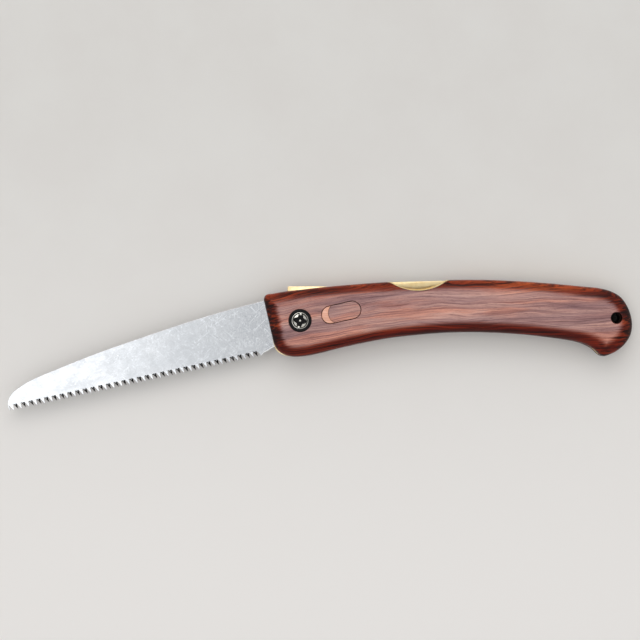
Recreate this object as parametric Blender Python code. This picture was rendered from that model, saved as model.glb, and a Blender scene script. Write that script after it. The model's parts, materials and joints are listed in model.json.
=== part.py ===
"""Folding pruning saw, open and lying on its back scale.

Frame: metres, +Z up. The saw lies flat: +X runs from the blade towards the tail of the handle,
+Y towards the spine of the handle, +Z out of the front scale. The origin is on the flat outer
face of the back scale, in the middle of the grip. Dimensions below are millimetres measured from
the pivot axis; the whole saw is parented to an empty that moves the pivot axis to its place.
"""

import math

import bmesh
import bpy
import numpy as np

MM = 0.001

# ---------------------------------------------------------------- driving dimensions (mm)
PIVOT_X, PIVOT_Y = -75.0, -7.0  # pivot axis in the saw's frame

SCALE_T = 6.4  # wooden scale
LINER_T = 1.0  # brass liner
FIT = 0.05  # gap between flat faces that bear on each other
SLOT_T = 2.7  # gap between the liners
BLADE_T = 1.3

Z_BACK_SCALE = (0.0, SCALE_T)
Z_BACK_LINER = (SCALE_T + FIT, SCALE_T + FIT + LINER_T)
Z_SLOT = (Z_BACK_LINER[1], Z_BACK_LINER[1] + SLOT_T)
Z_FRONT_LINER = (Z_SLOT[1], Z_SLOT[1] + LINER_T)
Z_FRONT_SCALE = (Z_FRONT_LINER[1] + FIT, Z_FRONT_LINER[1] + FIT + SCALE_T)
Z_MID = 0.5 * (Z_SLOT[0] + Z_SLOT[1])
Z_BLADE = (Z_MID - 0.5 * BLADE_T, Z_MID + 0.5 * BLADE_T)

# handle outline, clockwise from the upper front corner
TOP_LINE = [(-14.4, 13.5), (-8.2, 14.6), (2.0, 15.8), (12.0, 16.9), (33.0, 18.7), (55.0, 20.0),
            (76.0, 20.5), (97.0, 20.4), (121.0, 19.1), (142.0, 17.2), (150.6, 16.3)]
TAIL = [(156.6, 14.7), (161.3, 11.9), (164.6, 7.4), (166.5, 2.4), (167.1, -2.6), (166.2, -7.4),
        (163.3, -12.0), (159.2, -15.4), (154.9, -17.4)]
HOOK = [(152.5, -17.9), (150.5, -17.0), (148.0, -14.6), (144.6, -12.5)]
BELLY = [(139.0, -10.6), (127.0, -8.7), (112.0, -7.0), (97.0, -6.1), (84.0, -5.85), (70.0, -6.3),
         (57.0, -7.4), (45.0, -8.8), (33.0, -11.0), (21.0, -13.6), (10.0, -16.4), (3.0, -17.8)]
LOWER_CORNER = [(-3.0, -18.2), (-7.6, -17.3), (-10.9, -15.3), (-12.7, -12.9)]
FRONT_EDGE = [(-14.4, -7.0), (-16.2, 1.0), (-17.9, 8.4)]
UPPER_CORNER = [(-18.3, 10.8), (-17.6, 12.6), (-16.2, 13.3)]
LINER_LOWER_CORNER = [(-3.0, -18.2), (-7.9, -17.5), (-11.25, -15.65), (-13.0, -12.9)]

EDGE_WALL = 1.2  # straight wall of a scale before its rounded edge
ROUND_BASE = 6.0  # width of the rounded edge
ROUND_TAIL = 8.0

NOTCH_X, NOTCH_Y, NOTCH_R = 59.0, 15.0, 24.2  # thumb notch: deepest point and radius
LINER_LIP = 0.5  # how far the liners stand into the notch

LANYARD = (158.5, 1.3)
LANYARD_R = 2.9

# blade
HEEL = (-19.5, -17.8)  # last tooth tip
TOOTH_LINE_DEG = 192.33
TOOTH_COUNT = 65
TOOTH_PITCH = 2.0
TOOTH_DEPTH = 2.9
TOOTH_RAKE = 0.12  # how far a tip leans past its own root, towards the handle
SPINE = [(-146.9, -38.8), (-145.0, -36.3), (-141.2, -33.4), (-136.0, -30.3), (-121.0, -23.9), (-101.0, -16.0),
         (-81.0, -9.0), (-60.6, -2.1), (-40.4, 4.1), (-19.3, 9.7), (-9.0, 12.2)]
TANG_R = 9.6
PIVOT_HOLE_R = 3.55

# lock bar
LOCK_PIN = (33.0, 15.8)
LOCK_PIN_R = 1.25
STOP_PIN = (10.6, 10.75)
STOP_PIN_R = 1.5

# oval inlay in the front scale
OVAL = (20.6, 4.1)
OVAL_LEN, OVAL_W, OVAL_DEG = 20.0, 8.8, 12.6
OVAL_DEPTH = 0.9
INLAY_END = (-1.15, 5.25)  # centre along the oval and radius of the long piece's rounded end

# pivot hardware
RING_R = (4.35, 5.7)
RING_SEAT = 3.0  # depth of the seat in a scale
HEAD_R = 4.25
SHANK_R = 2.4

SPACER_PINS = [(91.0, 17.2), (121.0, 16.2), (160.2, -8.6)]
SCALE_SCREWS = [(16.0, -8.6), (72.0, 6.0), (134.0, 4.0)]

for old in list(bpy.data.objects):
    bpy.data.objects.remove(old, do_unlink=True)


# ---------------------------------------------------------------- materials
def material(name, color, roughness, metallic=0.0, coat=0.0):
    mat = bpy.data.materials.new(name)
    mat.use_nodes = True
    node = mat.node_tree.nodes["Principled BSDF"]
    node.inputs["Base Color"].default_value = (*color, 1.0)
    node.inputs["Roughness"].default_value = roughness
    node.inputs["Metallic"].default_value = metallic
    node.inputs["Coat Weight"].default_value = coat
    return mat


ROSEWOOD = material("rosewood", (0.21, 0.055, 0.032), 0.34, 0.0, 0.3)
PALE_WOOD = material("pale_wood", (0.80, 0.36, 0.20), 0.4)
BRASS = material("brass", (0.83, 0.62, 0.30), 0.3, 1.0)
STEEL = material("satin_steel", (0.68, 0.69, 0.70), 0.3, 1.0)
SPRING_STEEL = material("spring_steel", (0.40, 0.41, 0.43), 0.35, 1.0)
BLACK = material("black_oxide", (0.02, 0.02, 0.022), 0.42, 0.6)
NICKEL = material("bright_nickel", (0.72, 0.70, 0.66), 0.22, 1.0)
BRONZE = material("bronze", (0.55, 0.36, 0.16), 0.35, 1.0)


# ---------------------------------------------------------------- frame
def empty(name, location, parent=None):
    item = bpy.data.objects.new(name, None)
    item.location = [v * MM for v in location]
    bpy.context.scene.collection.objects.link(item)
    item.parent = parent
    return item


PIVOT = empty("pivot_frame", (PIVOT_X, PIVOT_Y, 0.0))


def link(name, bm, mat, at=(0.0, 0.0, 0.0), smooth=True):
    """Turns a bmesh in millimetres, drawn from `at`, into a named object whose origin is there."""
    bmesh.ops.remove_doubles(bm, verts=bm.verts, dist=1e-5)
    bmesh.ops.recalc_face_normals(bm, faces=bm.faces)
    for vert in bm.verts:
        vert.co = vert.co * MM
    mesh = bpy.data.meshes.new(name)
    bm.to_mesh(mesh)
    bm.free()
    mesh.materials.append(mat)
    if smooth:
        mesh.shade_smooth()
        mesh.set_sharp_from_angle(angle=math.radians(32))
    item = bpy.data.objects.new(name, mesh)
    item.location = [v * MM for v in at]
    bpy.context.scene.collection.objects.link(item)
    item.parent = PIVOT
    return item


# ---------------------------------------------------------------- drawing
def spline(points, closed=True, steps=24):
    """A centripetal Catmull-Rom curve through the points."""
    pts = [np.array(p, float) for p in points]
    n = len(pts)
    out = []
    spans = n if closed else n - 1
    for i in range(spans):
        if closed:
            p0, p1, p2, p3 = pts[i - 1], pts[i], pts[(i + 1) % n], pts[(i + 2) % n]
        else:
            p1, p2 = pts[i], pts[i + 1]
            p0 = pts[i - 1] if i else p1 * 2 - p2
            p3 = pts[i + 2] if i + 2 < n else p2 * 2 - p1
        t0 = 0.0
        t1 = t0 + math.sqrt(np.linalg.norm(p1 - p0))
        t2 = t1 + math.sqrt(np.linalg.norm(p2 - p1))
        t3 = t2 + math.sqrt(np.linalg.norm(p3 - p2))
        for k in range(steps):
            t = t1 + (t2 - t1) * k / steps
            a1 = (t1 - t) / (t1 - t0) * p0 + (t - t0) / (t1 - t0) * p1
            a2 = (t2 - t) / (t2 - t1) * p1 + (t - t1) / (t2 - t1) * p2
            a3 = (t3 - t) / (t3 - t2) * p2 + (t - t2) / (t3 - t2) * p3
            b1 = (t2 - t) / (t2 - t0) * a1 + (t - t0) / (t2 - t0) * a2
            b2 = (t3 - t) / (t3 - t1) * a2 + (t - t1) / (t3 - t1) * a3
            out.append((t2 - t) / (t2 - t1) * b1 + (t - t1) / (t2 - t1) * b2)
    if not closed:
        out.append(pts[-1])
    return np.array(out)


def arc(center, radius, start_deg, end_deg, count):
    """Points along an arc, both ends included."""
    return [(center[0] + radius * math.cos(math.radians(a)), center[1] + radius * math.sin(math.radians(a)))
            for a in np.linspace(start_deg, end_deg, count)]


def outline_data(points):
    """The closed clockwise outline with its inward normals and the radius of its outward bends."""
    nxt, prv = np.roll(points, -1, 0), np.roll(points, 1, 0)
    tan = nxt - prv
    tan /= np.linalg.norm(tan, axis=1)[:, None]
    inward = np.stack([tan[:, 1], -tan[:, 0]], 1)
    reach = 5
    before, after = points - np.roll(points, reach, 0), np.roll(points, -reach, 0) - points
    turn = -(before[:, 0] * after[:, 1] - before[:, 1] * after[:, 0])
    length = np.linalg.norm(before, axis=1) * np.linalg.norm(after, axis=1)
    angle = np.arcsin(np.clip(turn / length, -1, 1))
    mean = 0.5 * (np.linalg.norm(before, axis=1) + np.linalg.norm(after, axis=1))
    radius = np.where(angle > 1e-3, mean / np.maximum(angle, 1e-3), 1e3)
    return inward, radius


def edge_widths(points, radius):
    """Width of the rounded edge: tighter where the outline bends sharply, changing slowly along it."""
    tail = np.clip((points[:, 0] - 138.0) / 22.0, 0, 1)
    width = np.minimum(ROUND_BASE + (ROUND_TAIL - ROUND_BASE) * tail, 0.80 * radius)
    step = np.linalg.norm(np.roll(points, -1, 0) - points, axis=1)
    for _ in range(2):
        for i in range(len(points)):
            width[i] = min(width[i], width[i - 1] + 0.40 * step[i - 1])
        for i in range(len(points) - 1, -1, -1):
            j = (i + 1) % len(points)
            width[i] = min(width[i], width[j] + 0.40 * step[i])
    return width


def thin_out(points, turn_deg=7.0, longest=9.0):
    """Indices of the points to keep: close together on bends, far apart on straight runs."""
    tan = np.roll(points, -1, 0) - points
    heading = np.unwrap(np.arctan2(tan[:, 1], tan[:, 0]))
    keep, last = [0], 0
    for i in range(1, len(points)):
        turned = abs(heading[i] - heading[last])
        run = np.linalg.norm(points[i] - points[last])
        if turned > math.radians(turn_deg) or run > longest:
            keep.append(i)
            last = i
    return keep


def prism(points, z0, z1):
    """A straight prism over a closed outline."""
    bm = bmesh.new()
    base = [bm.verts.new((p[0], p[1], z0)) for p in points]
    face = bm.faces.new(base)
    ring = bmesh.ops.extrude_face_region(bm, geom=[face])
    bmesh.ops.translate(bm, vec=(0, 0, z1 - z0), verts=[g for g in ring["geom"] if isinstance(g, bmesh.types.BMVert)])
    return bm


def turned(profile, segments, center=(0.0, 0.0)):
    """A turned piece: profile of (radius, z) from its axis or round a hole, spun a full turn."""
    bm = bmesh.new()
    loops = []
    for r, z in profile:
        if r < 1e-6:
            loops.append([bm.verts.new((center[0], center[1], z))])
        else:
            loops.append([bm.verts.new((center[0] + r * math.cos(2 * math.pi * k / segments),
                                        center[1] + r * math.sin(2 * math.pi * k / segments), z))
                          for k in range(segments)])
    pairs = list(zip(loops, loops[1:]))
    if len(loops[0]) > 1 and len(loops[-1]) > 1:
        pairs.append((loops[-1], loops[0]))
    for a, b in pairs:
        for k in range(segments):
            j = (k + 1) % segments
            if len(a) == 1:
                bm.faces.new((a[0], b[j], b[k]))
            elif len(b) == 1:
                bm.faces.new((a[k], a[j], b[0]))
            else:
                bm.faces.new((a[k], a[j], b[j], b[k]))
    return bm


def disc(r, z0, z1, segments=32, center=(0.0, 0.0)):
    return turned([(0, z0), (r, z0), (r, z1), (0, z1)], segments, center)


def tube(r_in, r_out, z0, z1, segments=32, center=(0.0, 0.0)):
    return turned([(r_in, z0), (r_out, z0), (r_out, z1), (r_in, z1)], segments, center)


def cutter(name, bm):
    item = link("cut_" + name, bm, BLACK, smooth=False)
    item.hide_render = True
    item.display_type = "WIRE"
    return item


def cut(item, *cutters):
    for tool in cutters:
        mod = item.modifiers.new(tool.name, "BOOLEAN")
        mod.operation = "DIFFERENCE"
        mod.solver = "EXACT"
        mod.object = tool


def obround(center, length, width, deg, count=14):
    """Closed outline of a slot with round ends."""
    half = 0.5 * (length - width)
    r = 0.5 * width
    pts = arc((half, 0), r, 90, -90, count) + arc((-half, 0), r, 270, 90, count)
    ca, sa = math.cos(math.radians(deg)), math.sin(math.radians(deg))
    return [(center[0] + x * ca - y * sa, center[1] + x * sa + y * ca) for x, y in pts]


# ---------------------------------------------------------------- outlines
HANDLE = spline(TOP_LINE + TAIL + HOOK + BELLY + LOWER_CORNER + FRONT_EDGE + UPPER_CORNER)
LINER = spline(TOP_LINE + TAIL + HOOK + BELLY + LINER_LOWER_CORNER + FRONT_EDGE + UPPER_CORNER)
INWARD, BEND_R = outline_data(HANDLE)
ROUND_W = edge_widths(HANDLE, BEND_R)
KEEP = thin_out(HANDLE)


def scale_mesh(z_inner, z_outer):
    """A wooden scale: straight wall at the liner, then an elliptical roundover up to a flat face."""
    up = 1.0 if z_outer > z_inner else -1.0
    height = abs(z_outer - z_inner) - EDGE_WALL
    bm = bmesh.new()
    rings = [(0.0, z_inner), (0.0, z_inner + up * EDGE_WALL)]
    for deg in (22.5, 42, 58, 74, 90):
        a = math.radians(deg)
        rings.append((1.0 - math.cos(a), z_inner + up * (EDGE_WALL + height * math.sin(a))))
    loops = []
    for share, z in rings:
        loops.append([bm.verts.new((*(HANDLE[i] + INWARD[i] * ROUND_W[i] * share), z)) for i in KEEP])
    for a, b in zip(loops, loops[1:]):
        for k in range(len(a)):
            j = (k + 1) % len(a)
            bm.faces.new((a[k], a[j], b[j], b[k]))
    bm.faces.new(loops[0])
    bm.faces.new(loops[-1])
    return bm


def notch_outline(lip):
    """The thumb notch: an arc below, open above."""
    y0 = NOTCH_Y + lip + NOTCH_R
    pts = arc((NOTCH_X, y0), NOTCH_R, 212, 328, 40)
    return pts + [(NOTCH_X + 21, 32), (NOTCH_X - 21, 32)]


# ---------------------------------------------------------------- scales
notch_cut = cutter("notch", prism(notch_outline(0.0), -2, 20))
liner_notch_cut = cutter("liner_notch", prism(notch_outline(LINER_LIP), 5, 13))
lanyard_cut = cutter("lanyard", disc(LANYARD_R, -2, 20, 40, LANYARD))
shank_cut = cutter("shank", disc(SHANK_R + 0.1, -2, 20, 32))
front_seat_cut = cutter("front_seat", disc(RING_R[1] + 0.1, Z_FRONT_SCALE[1] - RING_SEAT, 20, 48))
back_seat_cut = cutter("back_seat", disc(RING_R[1] + 0.1, -2, RING_SEAT, 48))
oval_cut = cutter("oval", prism(obround(OVAL, OVAL_LEN, OVAL_W, OVAL_DEG), Z_FRONT_SCALE[1] - OVAL_DEPTH, 20))

front_scale = link("front_scale", scale_mesh(Z_FRONT_SCALE[0], Z_FRONT_SCALE[1]), ROSEWOOD)
back_scale = link("back_scale", scale_mesh(Z_BACK_SCALE[1], Z_BACK_SCALE[0]), ROSEWOOD)
cut(front_scale, notch_cut, lanyard_cut, shank_cut, front_seat_cut, oval_cut)
cut(back_scale, notch_cut, lanyard_cut, shank_cut, back_seat_cut)

for k, at in enumerate(SCALE_SCREWS, 1):
    hole = cutter("screw_hole_%d" % k, disc(1.1, Z_BACK_SCALE[1] - 4.3, Z_FRONT_SCALE[0] + 4.3, 16, at))
    cut(front_scale, hole)
    cut(back_scale, hole)

# inlay: a long rosewood piece with a rounded end, and a pale crescent behind it, in one shallow pocket
u = (math.cos(math.radians(OVAL_DEG)), math.sin(math.radians(OVAL_DEG)))
half_w = 0.5 * (OVAL_W - 0.3)
end_x = 0.5 * (OVAL_LEN - 0.3) - half_w
meet = {}
for key, radius in (("long", INLAY_END[1]), ("end", INLAY_END[1] + 0.15)):
    meet[key] = (radius, 180.0 - math.degrees(math.asin(half_w / radius)))
long_piece = arc((end_x, 0), half_w, -90, 90, 24) + \
    arc((INLAY_END[0], 0), meet["long"][0], meet["long"][1], 360.0 - meet["long"][1], 20)
end_piece = arc((-end_x, 0), half_w, 90, 270, 24) + \
    arc((INLAY_END[0], 0), meet["end"][0], 360.0 - meet["end"][1], meet["end"][1], 20)


def placed(points):
    return [(OVAL[0] + x * u[0] - y * u[1], OVAL[1] + x * u[1] + y * u[0]) for x, y in points]


z_pocket = Z_FRONT_SCALE[1] - OVAL_DEPTH + FIT
link("oval_inlay", prism(placed(long_piece), z_pocket, z_pocket + 0.62), ROSEWOOD)
link("oval_inlay_end", prism(placed(end_piece), z_pocket, z_pocket + 0.62), PALE_WOOD)


# ---------------------------------------------------------------- liners
def liner(name, z0, z1, outer_z):
    item = link(name, prism(LINER[thin_out(LINER, 4.0, 5.0)], z0, z1), BRASS)
    cut(item, liner_notch_cut, lanyard_cut, shank_cut)
    return item


front_liner = liner("front_liner", *Z_FRONT_LINER, Z_FRONT_LINER[1])
back_liner = liner("back_liner", *Z_BACK_LINER, Z_BACK_LINER[0])
for k, at in enumerate([LOCK_PIN] + [STOP_PIN] + SPACER_PINS, 1):
    r = (LOCK_PIN_R, STOP_PIN_R, 1.25, 1.25, 1.25)[k - 1]
    hole = cutter("pin_hole_%d" % k, disc(r + 0.05, 5, 13, 24, at))
    cut(front_liner, hole)
    cut(back_liner, hole)

SCREW_HEAD_R, SCREW_R = 1.9, 1.0
for k, at in enumerate(SCALE_SCREWS, 1):
    for side, face, up in (("front", Z_FRONT_LINER[0], 1.0), ("back", Z_BACK_LINER[1], -1.0)):
        cone = turned([(0, face - up * 1.0), (SCREW_HEAD_R + 1.05, face - up * 1.0),
                       (SCREW_R + 0.05, face + up * 0.9), (SCREW_R + 0.05, face + up * 1.6), (0, face + up * 1.6)], 20, at)
        cut(front_liner if side == "front" else back_liner, cutter("%s_sink_%d" % (side, k), cone))
        screw = turned([(0, face + up * 0.05), (SCREW_HEAD_R, face + up * 0.05), (SCREW_R, face + up * 0.95),
                        (SCREW_R, face + up * 4.6), (0, face + up * 5.1)], 20, at)
        item = link("%s_scale_screw_%d" % (side, k), screw, SPRING_STEEL)
        slot = [(at[0] - 3, at[1] - 0.2), (at[0] + 3, at[1] - 0.2), (at[0] + 3, at[1] + 0.2), (at[0] - 3, at[1] + 0.2)]
        z_slot = sorted((face - up * 1.0, face + up * 0.45))
        cut(item, cutter("%s_drive_%d" % (side, k), prism(slot, *z_slot)))


# ---------------------------------------------------------------- back spacer
def spacer_outline():
    """Brass spine behind the lock bar, round the tail and down into the hook."""
    rim = [tuple(HANDLE[i] + INWARD[i] * 0.25) for i in KEEP]
    tip_r = 154.3
    outer = [(81.0, 20.2)]
    for x, y in rim:
        if (x > 84.0 and y > 10.0) or (x > 150.0 and math.hypot(x, y) > tip_r + 0.2 and y > -17.6):
            outer.append((x, y))
    low = math.degrees(math.asin(-17.35 / tip_r))
    inner_arc = arc((0, 0), tip_r, low, 4.6, 12)
    inner = inner_arc + [(152.8, 13.1), (150.5, 13.4), (106.0, 13.7), (106.0, 14.65), (111.5, 14.65), (111.5, 15.65), (81.0, 15.65)]
    return outer + inner


back_spacer = link("back_spacer", prism(spacer_outline(), Z_SLOT[0] + FIT, Z_SLOT[1] - FIT), BRASS)
cut(back_spacer, lanyard_cut)
for k, at in enumerate(SPACER_PINS, 1):
    cut(back_spacer, cutter("spacer_hole_%d" % k, disc(1.3, 5, 13, 24, at)))
    link("spacer_pin_%d" % k, disc(1.25, Z_BACK_LINER[0] + 0.05, Z_FRONT_LINER[1] - 0.05, 24, at), BRASS)

# ---------------------------------------------------------------- lock bar, its pin and its spring
lock_top = [(-6.3, 11.2), (-6.35, 16.9), (-5.9, 17.2), (2.0, 17.2), (9.5, 17.25), (16.0, 17.1), (24.0, 17.6), (33.0, 18.35),
            (44.0, 19.2), (48.0, 19.45), (59.0, 19.8), (70.0, 20.05), (77.0, 20.1), (78.6, 19.6)]
lock_under = [(78.6, 16.7), (78.2, 16.2), (66.5, 15.65), (65.6, 14.55), (59.0, 14.25), (45.0, 13.65), (33.0, 13.3), (17.0, 13.3), (8.6, 13.1), (6.4, 12.6),
              (5.3, 11.6), (5.0, 10.6), (4.4, 10.0), (3.6, 9.9), (-5.0, 9.9), (-5.9, 10.3)]
lock_shape = [(x - LOCK_PIN[0], y - LOCK_PIN[1]) for x, y in lock_top + lock_under]
lock_bar = link("lock_bar", prism(lock_shape, Z_SLOT[0] + 0.1, Z_SLOT[1] - 0.1), BRASS, at=(LOCK_PIN[0], LOCK_PIN[1], 0.0))
cut(lock_bar, cutter("lock_pin_hole", disc(LOCK_PIN_R + 0.05, 5, 13, 24, LOCK_PIN)))
link("lock_bar_pin", disc(LOCK_PIN_R, Z_BACK_LINER[0] + 0.05, Z_FRONT_LINER[1] - 0.05, 24, LOCK_PIN), SPRING_STEEL)
link("stop_pin", disc(STOP_PIN_R, Z_BACK_LINER[0] + 0.05, Z_FRONT_LINER[1] - 0.05, 24, STOP_PIN), SPRING_STEEL)

spring_mid = spline([(111.0, 15.15), (96.0, 15.15), (86.0, 15.15), (78.0, 15.15), (70.0, 15.1)], closed=False, steps=5)
tan = np.gradient(spring_mid, axis=0)
tan /= np.linalg.norm(tan, axis=1)[:, None]
side = np.stack([-tan[:, 1], tan[:, 0]], 1) * 0.35
spring_shape = list(map(tuple, spring_mid + side)) + list(map(tuple, (spring_mid - side)[::-1]))
link("lock_spring", prism(spring_shape, Z_SLOT[0] + 0.3, Z_SLOT[1] - 0.3), SPRING_STEEL)


# ---------------------------------------------------------------- blade
def blade_outline():
    """Open blade: tang round the pivot, ricasso, toothed edge, rounded tip and spine."""
    a = math.radians(TOOTH_LINE_DEG)
    along = np.array([math.cos(a), math.sin(a)])
    up = np.array([along[1], -along[0]])
    if up[1] < 0:
        up = -up
    pts = []
    for k in range(TOOTH_COUNT + 1):
        tip = np.array(HEEL) + along * TOOTH_PITCH * k
        pts.append(tuple(tip))
        if k < TOOTH_COUNT:
            root = tip + along * (TOOTH_PITCH + TOOTH_RAKE) + up * TOOTH_DEPTH
            pts.append(tuple(root - along * 0.22))
            pts.append(tuple(root))
    nose = [(-147.3, -44.3), (-147.75, -42.6), (-147.6, -40.6)]
    spine = [tuple(p) for p in spline(SPINE, closed=False, steps=5)]
    tang = [(-7.2, 12.4), (-6.75, 12.0), (-6.75, 10.3), (-6.2, 9.65)]
    rim = arc((0, 0), TANG_R, 88, -98, 34)
    tang_start = [(-5.9, 8.9), (-5.0, 8.95), (-2.6, 9.3)]
    ricasso = [tuple(p) for p in spline([(-1.4, -9.5), (-7.0, -10.9), (-13.0, -13.2), (-16.6, -15.3), (-18.8, -16.6)],
                                        closed=False, steps=4)][1:]
    return pts + nose + spine + tang[:3] + tang_start + rim + ricasso


blade = link("blade", prism(blade_outline(), *Z_BLADE), STEEL)
cut(blade, cutter("blade_hole", disc(PIVOT_HOLE_R, 5, 13, 40)))

# ---------------------------------------------------------------- pivot
link("pivot_bushing", tube(SHANK_R + 0.1, PIVOT_HOLE_R - 0.05, Z_SLOT[0] + FIT, Z_SLOT[1] - FIT, 36), NICKEL)
link("back_pivot_washer", tube(PIVOT_HOLE_R + 0.05, 6.4, Z_SLOT[0] + FIT, Z_BLADE[0] - FIT, 40), BRONZE)
link("front_pivot_washer", tube(PIVOT_HOLE_R + 0.05, 6.4, Z_BLADE[1] + FIT, Z_SLOT[1] - FIT, 40), BRONZE)


def ring(name, z_seat, z_face):
    """Black escutcheon with a chamfered outer lip."""
    up = 1.0 if z_face > z_seat else -1.0
    bm = turned([(RING_R[0], z_seat), (RING_R[1], z_seat), (RING_R[1], z_face - up * 0.4), (RING_R[1] - 0.4, z_face),
                 (RING_R[0] + 0.2, z_face), (RING_R[0], z_face - up * 0.2)], 48)
    return link(name, bm, BLACK)


z_front = Z_FRONT_SCALE[1]
ring("front_pivot_ring", z_front - RING_SEAT + FIT, z_front - 0.15)
ring("back_pivot_ring", RING_SEAT - FIT, 0.35)

bolt = turned([(0, 0.9), (SHANK_R - 0.3, 0.9), (SHANK_R, 1.2), (SHANK_R, z_front - RING_SEAT + FIT),
               (HEAD_R, z_front - RING_SEAT + FIT), (HEAD_R, z_front - 0.75), (HEAD_R - 0.35, z_front - 0.35),
               (0, z_front - 0.35)], 40)
pivot_bolt = link("pivot_bolt", bolt, NICKEL)


def star_outline(count=64, r_mid=2.7, swing=0.6, lobes=4, turn=-10.0):
    return [((r_mid + swing * math.cos(lobes * 2 * math.pi * k / count)) * math.cos(2 * math.pi * k / count + math.radians(turn)),
             (r_mid + swing * math.cos(lobes * 2 * math.pi * k / count)) * math.sin(2 * math.pi * k / count + math.radians(turn)))
            for k in range(count)]


star = cutter("star", prism(star_outline(), z_front - 1.7, z_front + 1))
pin_keep = cutter("star_pin", disc(0.6, z_front - 4, z_front + 3, 16))
cut(star, pin_keep)
cut(pivot_bolt, star)

pivot_nut = link("pivot_nut", tube(SHANK_R + 0.08, HEAD_R, 0.6, RING_SEAT - FIT, 40), NICKEL)
for k, deg in enumerate((0.0,)):
    slot = [(-6, -0.6), (6, -0.6), (6, 0.6), (-6, 0.6)]
    cut(pivot_nut, cutter("nut_slot", prism(slot, -1, 1.3)))
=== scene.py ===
import json
import math

import bmesh
import bpy
import numpy as np
from mathutils import Matrix, Vector
from mathutils.geometry import delaunay_2d_cdt


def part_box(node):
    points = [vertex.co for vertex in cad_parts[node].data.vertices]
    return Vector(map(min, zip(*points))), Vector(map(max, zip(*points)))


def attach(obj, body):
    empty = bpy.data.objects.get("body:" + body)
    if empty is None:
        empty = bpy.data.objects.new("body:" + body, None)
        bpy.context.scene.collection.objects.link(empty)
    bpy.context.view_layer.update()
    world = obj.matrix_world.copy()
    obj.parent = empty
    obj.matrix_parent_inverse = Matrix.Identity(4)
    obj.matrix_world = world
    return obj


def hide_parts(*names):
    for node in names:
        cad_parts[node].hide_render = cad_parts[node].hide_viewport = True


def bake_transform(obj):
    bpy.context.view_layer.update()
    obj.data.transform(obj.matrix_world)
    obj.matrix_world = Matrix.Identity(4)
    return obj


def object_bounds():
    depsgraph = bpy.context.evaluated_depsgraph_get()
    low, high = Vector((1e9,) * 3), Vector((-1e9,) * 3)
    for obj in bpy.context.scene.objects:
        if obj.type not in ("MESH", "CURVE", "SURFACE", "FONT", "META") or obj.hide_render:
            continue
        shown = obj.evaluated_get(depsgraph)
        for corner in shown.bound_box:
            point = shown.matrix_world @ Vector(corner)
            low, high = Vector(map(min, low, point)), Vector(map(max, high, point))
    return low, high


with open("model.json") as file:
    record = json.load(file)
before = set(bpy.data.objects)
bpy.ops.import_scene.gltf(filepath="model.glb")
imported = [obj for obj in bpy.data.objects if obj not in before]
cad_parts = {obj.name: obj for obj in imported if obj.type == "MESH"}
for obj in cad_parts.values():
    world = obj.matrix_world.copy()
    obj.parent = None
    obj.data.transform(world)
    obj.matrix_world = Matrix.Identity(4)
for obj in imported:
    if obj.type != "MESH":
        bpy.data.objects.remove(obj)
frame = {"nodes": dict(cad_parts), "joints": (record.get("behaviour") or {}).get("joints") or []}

CAD_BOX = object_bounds()
MM = 0.001

# ------------------------------------------------------------------ places from the frame
JOINTS = {j["name"]: j for j in frame["joints"]}
PX, PY = (1000 * v for v in JOINTS["blade_pivot"]["pos_m"][:2])  # pivot axis, mm
LOCK_X, LOCK_Y = 1000 * JOINTS["lock_release"]["pos_m"][0] - PX, 1000 * JOINTS["lock_release"]["pos_m"][1] - PY


def zs(node):
    lo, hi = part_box(node)
    return 1000 * lo.z, 1000 * hi.z


Z_BS, Z_FS = zs("back_scale"), zs("front_scale")
Z_BL, Z_FL = zs("back_liner"), zs("front_liner")
Z_BLADE = zs("blade")
Z_RING, Z_BRING = zs("front_pivot_ring"), zs("back_pivot_ring")

# ------------------------------------------------------------------ design lines, mm from the pivot axis
TOP_LINE = [(-14.4, 13.5), (-8.2, 14.6), (2.0, 15.8), (12.0, 16.9), (33.0, 18.7), (55.0, 20.0),
            (76.0, 20.5), (97.0, 20.4), (121.0, 19.1), (142.0, 17.2), (150.6, 16.3)]
TAIL = [(156.6, 14.7), (161.3, 11.9), (164.6, 7.4), (166.5, 2.4), (167.1, -2.6), (166.2, -7.4),
        (163.3, -12.0), (159.2, -15.4), (154.9, -17.4)]
HOOK = [(152.5, -17.9), (150.5, -17.0), (148.0, -14.6), (144.6, -12.5)]
BELLY = [(139.0, -10.6), (127.0, -8.7), (112.0, -7.0), (97.0, -6.1), (84.0, -5.85), (70.0, -6.3),
         (57.0, -7.4), (45.0, -8.8), (33.0, -11.0), (21.0, -13.6), (10.0, -16.4), (3.0, -17.8)]
LOWER_CORNER = [(-3.0, -18.2), (-7.6, -17.3), (-10.9, -15.3), (-12.7, -12.9)]
FRONT_EDGE = [(-14.4, -7.0), (-16.2, 1.0), (-17.9, 8.4)]
UPPER_CORNER = [(-18.3, 10.8), (-17.6, 12.6), (-16.2, 13.3)]
EDGE_WALL = 1.2
NOTCH_X, NOTCH_Y, NOTCH_R = 59.0, 15.0, 24.2
LANYARD, LANYARD_R = (158.5, 1.3), 2.9
SEAT_R = 5.8
OVAL, OVAL_LEN, OVAL_W, OVAL_DEG = (20.6, 4.1), 20.0, 8.8, 12.6
OVAL_DEPTH = 0.9
HEEL, TOOTH_DEG, TOOTH_COUNT, TOOTH_PITCH, TOOTH_DEPTH = (-19.5, -17.8), 192.33, 65, 2.0, 2.9
SPINE = [(-146.9, -38.8), (-145.0, -36.3), (-141.2, -33.4), (-136.0, -30.3), (-121.0, -23.9), (-101.0, -16.0),
         (-81.0, -9.0), (-60.6, -2.1), (-40.4, 4.1), (-19.3, 9.7), (-9.0, 12.2)]
TANG_R, PIVOT_HOLE_R = 9.6, 3.55
STAR_TURN = math.radians(-10.0)


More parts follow.
